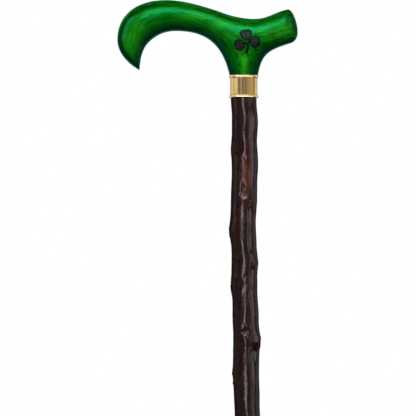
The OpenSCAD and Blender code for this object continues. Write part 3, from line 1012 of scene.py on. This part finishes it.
def stem_fill():
    left, right = stem_sides(-FILL_GAP)
    across = np.linspace(0, 1, STEM_ROWS)
    rows = []
    for share in across:
        flat = left + (right - left) * share
        rows.append(on_front(flat, FILL_RECESS + STEM_DISH_D * (1 - (2 * share - 1) ** 2)))
    for share in across:
        rows.append(on_front(left + (right - left) * share, POCKET_D - FIT))
    count = len(left)
    width = len(across)
    points = np.vstack(rows)
    faces = []
    for i in range(width - 1):
        for k in range(count - 1):
            for base in (0, width * count):
                a = base + i * count + k
                faces.append((a, a + 1, a + count + 1, a + count))
    for k in range(count - 1):
        for i in (0, width - 1):
            a = i * count + k
            b = (width + i) * count + k
            faces.append((a, a + 1, b + 1, b))
    for i in range(width - 1):
        for k in (0, count - 1):
            a = i * count + k
            b = (width + i) * count + k
            faces.append((a, a + count, b + count, b))
    return points, faces


wood = stained_wood(inlay_spots())
fill = black_fill()
HANDLE_SHARP = 50
points, faces = handle_body()
handle = add_piece("carved_handle", points, faces, "stick", "handle", wood,
                   sharp=HANDLE_SHARP)
tools = [cutter("cut_stem", stem_outline)]
for side, angle in LEAF_ANGLES.items():
    tools.append(cutter("cut_" + side, lambda grow, a=angle: leaf_outline(a, grow)))
cut(handle, tools, HANDLE_SHARP)
wood_values(handle.data)
for side, angle in LEAF_ANGLES.items():
    points, faces, values = leaf_fill(angle)
    node = f"shamrock_{side}_leaf"
    add_piece("leaf_fill_" + side, points, faces, "stick", node, fill, values)
points, faces = stem_fill()
add_piece("stem_fill", points, faces, "stick", "shamrock_stem", fill)


# The collar


def collar_profile():
    body_r = BEAD_R - BEAD_OUT
    bore_r = PEG_R + FIT
    round_r = BEAD_H / 2
    low = []
    for a in np.radians(np.linspace(-90, 90, 25)):
        low.append((BEAD_R - round_r + round_r * math.cos(a), round_r + round_r * math.sin(a)))
    low.append((body_r, BEAD_H + CREASE_H))
    high = [(r, COLLAR_H - z) for r, z in low[::-1]]
    waist = []
    for t in np.linspace(0, 1, 12)[1:-1]:
        level = WAIST_INSET + (COLLAR_H - 2 * WAIST_INSET) * t
        waist.append((body_r - WAIST_HOLLOW * math.sin(math.pi * t), level))
    profile = [(bore_r, 0)] + low + waist + high + [(bore_r, COLLAR_H)]
    return [(r, z + COLLAR_LOW_Z) for r, z in profile]


points, faces = lathe(collar_profile(), COLLAR_SIDES)
collar = add_piece("brass_collar", points, faces, "stick", "collar", polished_brass(),
                   sharp=30)


# The shaft


def shaft_knots():
    knots = [(COLLAR_LOW_Z - drop, direction, out) for drop, direction, out in UPPER_KNOTS]
    last_z, last_turn = knots[-1][:2]
    count = int((last_z - BARK_LOW_Z - END_FADE) / KNOT_PITCH)
    for i in range(1, count + 1):
        vary = 1 + KNOT_VARY * math.sin(math.radians(KNOT_VARY_TURN * i))
        knots.append((last_z - i * KNOT_PITCH, last_turn + i * BRANCH_TURN, KNOT_OUT * vary))
    return knots


def shaft_centre(z, fade):
    # The bowed and crooked line of the shaft
    down = (COLLAR_LOW_Z - z) / (COLLAR_LOW_Z - BARK_LOW_Z)
    x = BOW_X * np.sin(np.pi * down) ** 2
    y = BOW_Y * np.sin(2 * np.pi * down)
    crooks = [(COLLAR_LOW_Z - drop, direction, out) for drop, direction, out in UPPER_CROOKS]
    for level, direction, _ in shaft_knots()[len(UPPER_KNOTS):]:
        crooks.append((level, direction, CROOK_OUT))
    for level, direction, out in crooks:
        lean = fade * out * np.exp(-((z - level) / CROOK_L) ** 2)
        x = x + lean * math.cos(math.radians(direction))
        y = y + lean * math.sin(math.radians(direction))
    return x, y


def turn_from(a, direction):
    # The angle from a direction, from -180 to 180 degrees
    return (a - direction + 180) % 360 - 180


def patch_reach(z, a, patch):
    # How far out of a patch of bark each point lies, squared; 1 is the patch's edge
    drop, direction, high, wide = patch
    return ((z - COLLAR_LOW_Z + drop) / high) ** 2 + (turn_from(a, direction) / wide) ** 2


def bark_noise(z, a, form):
    # Unevenness laid out round and along the shaft
    length, squeeze, _ = form
    rad = np.radians(a)
    where = np.stack([BARK_R * np.cos(rad), BARK_R * np.sin(rad), squeeze * z], axis=-1)
    return noise_at(where.reshape(-1, 3), 1 / length).reshape(z.shape)


def shaft_surface(z, a):
    # How far the bark stands out from the plain shaft, and how dark its eyes and hollows are
    ripple = RIPPLE_H * np.sin(np.radians(2 * a + 360 * z / RIPPLE_L))
    ripple = ripple * np.sin(np.radians(360 * z / RIPPLE_L / RIPPLE_BEAT))
    swell = 0 * z
    eye = 0 * z
    for level, direction, out in shaft_knots():
        rise = z - level
        turn = np.abs(turn_from(a, direction))
        slope = np.where(rise > 0, KNOT_ABOVE, KNOT_BELOW)
        swell += out * np.exp(-(rise / slope) ** 2 - (turn / KNOT_SPREAD) ** 2)
        # The scar where the branch was cut, a sunken eye with a raised rim
        size = EYE_R + EYE_GROWTH * out
        across = np.radians(turn) * BARK_R / EYE_WIDTH
        reach = np.hypot((rise + EYE_DROP) / size, across / size)
        eye = np.maximum(eye, np.exp(-reach ** 3) * min(EYE_DARKEST, EYE_PALEST + out / 2))
        swell += RIM_H * out * np.exp(-((reach - RIM_AT) / RIM_W) ** 2) - EYE_D * out * np.exp(-reach ** 4)
    lumps = bark_noise(z, a, LUMPS)
    dents = bark_noise(z, a, DENTS)
    for hollow in HOLLOWS:
        reach = patch_reach(z, a, hollow) * (1 + RAGGED_DENTS * dents + RAGGED_LUMPS * lumps)
        swell -= HOLLOW_D * np.exp(-reach)
        eye = np.maximum(eye, HOLLOW_DARK * np.exp(-reach ** 2))
    # Sharp ridges, about as much over as under the plain shaft
    ridges = 0.5 - np.abs(bark_noise(z, a, RIDGES)) - RIDGE_MEAN
    furrows = bark_noise(z, a, FURROWS)
    rough = LUMPS[2] * lumps + DENTS[2] * dents + RIDGES[2] * ridges + FURROWS[2] * furrows
    return ripple + swell + rough, eye


def shaft_body():
    sides = SHAFT_SIDES
    rings = int((COLLAR_LOW_Z - BARK_LOW_Z) / RING_STEP)
    z, a = np.meshgrid(np.linspace(BARK_LOW_Z, COLLAR_LOW_Z, rings + 1),
                       np.arange(sides) * 360 / sides, indexing="ij")
    share = (z - BARK_LOW_Z) / (COLLAR_LOW_Z - BARK_LOW_Z)
    fade = smooth((z - BARK_LOW_Z) / END_FADE) * smooth((COLLAR_LOW_Z - z) / END_FADE)
    out, eye = shaft_surface(z, a)
    radius = SHAFT_LOW_R + (SHAFT_TOP_R - SHAFT_LOW_R) * share + fade * out
    x, y = shaft_centre(z, fade)
    rad = np.radians(a)
    bark = np.stack([x + radius * np.cos(rad), y + radius * np.sin(rad), z], axis=-1).reshape(-1, 3)
    points = [bark]
    scar = RED_SCAR_STRENGTH * np.exp(-patch_reach(z, a, RED_SCAR))
    values = {"eye": eye.ravel(), "scar": scar.ravel(), "bare": 0 * z.ravel()}
    faces = []
    for i in range(rings):
        for k in range(sides):
            n = (k + 1) % sides
            faces.append((i * sides + k, i * sides + n, (i + 1) * sides + n, (i + 1) * sides + k))
    # The turned foot below and the peg above
    circle = np.arange(sides) * 2 * math.pi / sides
    total = len(bark)
    low = [(FOOT_R, BARK_LOW_Z), (FOOT_R, SHAFT_END_Z + FOOT_CHAMFER), (FOOT_R - FOOT_CHAMFER, SHAFT_END_Z)]
    high = [(PEG_R, COLLAR_LOW_Z), (PEG_R, JOINT_Z)]
    for chain, first in ((low, 0), (high, rings * sides)):
        last = list(range(first, first + sides))
        for r, level in chain:
            points.append(np.column_stack([r * np.cos(circle), r * np.sin(circle), 0 * circle + level]))
            ring = list(range(total, total + sides))
            total += sides
            for k in range(sides):
                n = (k + 1) % sides
                faces.append((last[k], last[n], ring[n], ring[k]))
            last = ring
        faces.append(tuple(last))
    points = np.vstack(points)
    for label in values:
        rest = np.full(len(points) - len(bark), 1.0 if label == "bare" else 0.0)
        values[label] = np.concatenate([values[label], rest])
    return points, faces, values


points, faces, values = shaft_body()
shaft = add_piece("bark_shaft", points, faces, "stick", "shaft", blackthorn(), values, sharp=60)


# The ferrule

FERRULE_SIDES = 128


def ferrule_profile():
    pad_r = 5
    treads = 2
    tread_w = 2
    tread_d = 1.6
    waist_r = 13
    top_r = 12
    flare_h = 16
    flare_edge_h = 3
    # How far up the flare's curve runs on from the base, and hangs down from the waist
    base_pull = 0.6
    waist_pull = 0.55
    lip_h = 3
    lip_slope = 0.5
    rib_out = 0.8
    rib_h = 2
    ribs = 4
    # Rounds of the edges
    tread_round = 0.4
    groove_round = 0.3
    base_round = 1.2
    rib_round = 0.5
    under_lip_round = 0.4
    lip_edge_round = 0.6
    lip_round = 1.0
    bore_r = FOOT_R + FIT
    body_top = FERRULE_H - lip_h
    lip_r = top_r + rib_out
    corners = [(0, 0, 0)]
    for i in range(treads):
        inner = pad_r + 2 * tread_w * i
        outer = inner + tread_w
        corners += [(inner, 0, tread_round), (inner, tread_d, groove_round),
                    (outer, tread_d, groove_round), (outer, 0, tread_round)]
    corners.append((FERRULE_BASE_R, 0, base_round))
    flare = np.array([(FERRULE_BASE_R, flare_edge_h), (FERRULE_BASE_R, flare_h * base_pull),
                      (waist_r, flare_h * waist_pull), (waist_r, flare_h)])
    corners += [(r, z, 0) for r, z in bezier(*flare, np.linspace(0, 1, 25))]
    step = (body_top - flare_h) / (ribs + 1)
    for i in range(1, ribs + 1):
        z = flare_h + i * step
        r = waist_r + (top_r - waist_r) * (z - flare_h) / (body_top - flare_h)
        for out, rise in ((0, -rib_h / 2), (rib_out, -rib_h / 4), (rib_out, rib_h / 4), (0, rib_h / 2)):
            corners.append((r + out, z + rise, rib_round))
    corners += [(top_r, body_top, under_lip_round), (lip_r, body_top + lip_slope, lip_edge_round),
                (lip_r, FERRULE_H, lip_round), (bore_r, FERRULE_H, lip_round), (bore_r, WASHER_Z, 0),
                (0, WASHER_Z, 0)]
    return rounded(corners)


points, faces = lathe(ferrule_profile(), FERRULE_SIDES)
ferrule = add_piece("rubber_ferrule", points, faces, "tip", "ferrule", ferrule_rubber(),
                    sharp=45)

# The hidden steel pieces keep their solids
steel = plated_steel()
for name in ("joining_stud", "ferrule_washer"):
    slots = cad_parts[name].data.materials
    slots.clear()
    slots.append(steel)


# Floor, light and camera, in metres

FLOOR_R = 0.8
FLOOR_SIDES = 96
CAMERA_PLACE = (-0.0264, -1.710, 0.7601)
HEAD = (-0.02, 0, 0.885)
WHITE = (1, 1, 1)
WARM = (1, 0.86, 0.68)
COOL = (0.5, 1, 2.2)
ROOM_LIGHT = 0.07


def disc(name, radius, sides):
    mesh = bpy.data.meshes.new(name)
    work = bmesh.new()
    bmesh.ops.create_circle(work, cap_ends=True, segments=sides, radius=radius)
    work.to_mesh(mesh)
    work.free()
    made = bpy.data.objects.new(name, mesh)
    bpy.context.scene.collection.objects.link(made)
    return made


floor = disc("floor", FLOOR_R, FLOOR_SIDES)
floor.data.materials.append(pale_floor())
floor.visible_glossy = False


def area_light(name, place, target, width, height, radiance, tint=WHITE):
    data = bpy.data.lights.new(name, "AREA")
    data.shape = "RECTANGLE"
    data.size = width
    data.size_y = height
    data.energy = radiance * math.pi * width * height
    data.color = tint
    made = bpy.data.objects.new(name, data)
    made.location = place
    made.rotation_euler = (Vector(target) - Vector(place)).to_track_quat("-Z", "Y").to_euler()
    made.visible_camera = False
    bpy.context.scene.collection.objects.link(made)
    return made


def around(azimuth, elevation, distance, centre):
    # A place round a centre; azimuth 0 is the front, and positive turns to the right
    a = math.radians(azimuth)
    e = math.radians(elevation)
    out = distance * math.cos(e)
    return (centre[0] + out * math.sin(a), centre[1] - out * math.cos(a), centre[2] + distance * math.sin(e))


def head_light(name, azimuth, elevation, distance, width, height, radiance, tint=WHITE):
    # A panel that faces the handle
    place = around(azimuth, elevation, distance, HEAD)
    return area_light(name, place, HEAD, width, height, radiance, tint)


def standing_light(name, azimuth, distance, width, low, high, radiance, tint=WHITE):
    # An upright panel that faces the stick's axis, from one height to another
    middle = (0, 0, (low + high) / 2)
    place = around(azimuth, 0, distance, middle)
    return area_light(name, place, middle, width, high - low, radiance, tint)


def falls_on(light, pieces, state):
    # Keeps a light to some pieces, or off them
    chosen = bpy.data.collections.new(light.name)
    for piece in pieces:
        chosen.objects.link(piece)
    for entry in chosen.collection_objects:
        entry.light_linking.link_state = state
    light.light_linking.receiver_collection = chosen


# Lights on all but the collar, and from behind: name, azimuth, elevation, distance, width, height, radiance
key = head_light("key", -1, 37, 1.4, 0.74, 0.84, 8.0)
key_low = head_light("key_low", -6, 12, 1.4, 0.9, 0.4, 0.5)
back_fill = head_light("back_fill", 165, 12, 1.9, 1.2, 1.0, 3.2)
back_fill.visible_glossy = False
for light in (key, key_low):
    falls_on(light, [collar], "EXCLUDE")

# Panels that the handle's lacquer mirrors at its two ends, given as above with a tint
HANDLE_PANELS = [("nose_panel", -70, 20, 1.4, 0.55, 1.1, 2.1, (0.8, 1, 1.9)),
                 ("nose_link", -45, 36, 1.4, 0.6, 0.5, 1.3, (0.8, 1, 1.8)),
                 ("tail_panel", 66, 20, 1.4, 1.2, 0.5, 1.5, WHITE)]
for panel in HANDLE_PANELS:
    falls_on(head_light(*panel), [handle], "INCLUDE")

# A cool sheet behind the handle, which edges its outline
rim = head_light("rim", 180, 0, 1.0, 1.8, 1.8, 0.45, (0.1, 1, 0.6))
rim.visible_diffuse = False
falls_on(rim, [handle], "INCLUDE")

# Upright panels that the shaft's lacquer mirrors: name, azimuth, distance, width, low and high end, radiance
SHAFT_PANELS = [("strip", -8, 1.3, 0.36, 0.47, 0.93, 3.8), ("side_strip", 42, 1.3, 0.24, 0.45, 0.95, 1.2),
                ("side_panel", 67, 1.3, 0.62, 0.45, 0.95, 1.5), ("right_side", 112, 1.3, 0.8, 0.2, 1.1, 0.38),
                ("left_strip", -84, 1.3, 0.5, 0.7, 1.0, 0.4), ("left_side", -86, 1.3, 1.5, 0.2, 1.1, 0.14)]
for panel in SHAFT_PANELS:
    falls_on(standing_light(*panel), [shaft, ferrule], "INCLUDE")

# Light that keeps the floor pale
floor_light = area_light("floor_light", (0, 0, 2.2), (0, 0, 0), 2.4, 2.4, 1.9)
falls_on(floor_light, [floor], "INCLUDE")

# Tall panels that the collar mirrors: name, azimuth, distance, width, radiance and tint
TALL_LOW = 0.1
TALL_HIGH = 2.2
TALL_PANELS = [("narrow_strip", -23, 1.3, 0.18, 0.4, WHITE), ("cool_strip", 5, 1.3, 0.4, 0.07, COOL),
               ("right_ramp", 34, 1.2, 0.44, 0.14, WARM), ("right_panel", 86, 0.9, 1.7, 0.34, WARM),
               ("right_core", 70, 1.0, 0.45, 0.18, WARM), ("right_edge", 135, 1.2, 1.0, 0.6, WHITE),
               ("left_panel", -92, 0.9, 1.75, 0.58, WHITE), ("left_core", -73, 1.0, 0.35, 0.28, WHITE),
               ("left_line", -110, 1.1, 0.2, 0.45, WHITE), ("left_edge", -148, 1.2, 0.7, 0.6, WHITE)]
for name, azimuth, distance, width, radiance, tint in TALL_PANELS:
    panel = standing_light(name, azimuth, distance, width, TALL_LOW, TALL_HIGH, radiance, tint)
    falls_on(panel, [collar], "INCLUDE")

# Panels over and under the collar: name, azimuth, elevation, distance, width, height, radiance
COLLAR_PANELS = [("front_top", 0, 48, 1.2, 2.2, 1.2, 0.6), ("left_top", -86, 42, 1.1, 0.9, 1.0, 0.7),
                 ("front_low", -12, -34, 1.1, 2.2, 0.9, 2.4), ("right_low", 66, -34, 1.1, 0.9, 0.9, 1.3)]
for panel in COLLAR_PANELS:
    falls_on(head_light(*panel), [collar], "INCLUDE")
overhead = area_light("overhead", (0, 0, 1.9), HEAD, 2.4, 2.4, 0.5)
falls_on(overhead, [collar], "INCLUDE")


def studio_world():
    # White to the camera, dim to matt surfaces; mirrors see a white screen behind and a grey room in front
    world = bpy.data.worlds.new("studio")
    world.use_nodes = True
    shader = Shader(world.node_tree)
    direction = shader.node("ShaderNodeTexCoord").outputs["Generated"]
    back = shader.axes(direction)[1]
    screen = shader.span(back, 0.995, 0.9995)
    room = shader.span(back, -0.6, -0.75, 0.04, 0.22)
    path = shader.node("ShaderNodeLightPath").outputs
    mirrored = shader.larger(path["Is Glossy Ray"], path["Is Transmission Ray"])
    more = shader.minus(shader.larger(screen, room), ROOM_LIGHT)
    level = shader.plus(ROOM_LIGHT, shader.times(mirrored, more))
    surface = world.node_tree.nodes["Background"]
    shader.put(surface.inputs["Strength"], shader.larger(level, path["Is Camera Ray"]))
    surface.inputs["Color"].default_value = (1, 1, 1, 1)
    bpy.context.scene.world = world


studio_world()

# The camera stands square on to the stick's front
camera = bpy.data.objects.new("camera", bpy.data.cameras.new("camera"))
camera.data.lens = 200
camera.data.sensor_width = 36
camera.data.clip_end = 50
camera.location = CAMERA_PLACE
camera.rotation_euler = (math.pi / 2, 0, 0)
bpy.context.scene.collection.objects.link(camera)
bpy.context.scene.camera = camera
bpy.context.scene.view_settings.view_transform = "Standard"
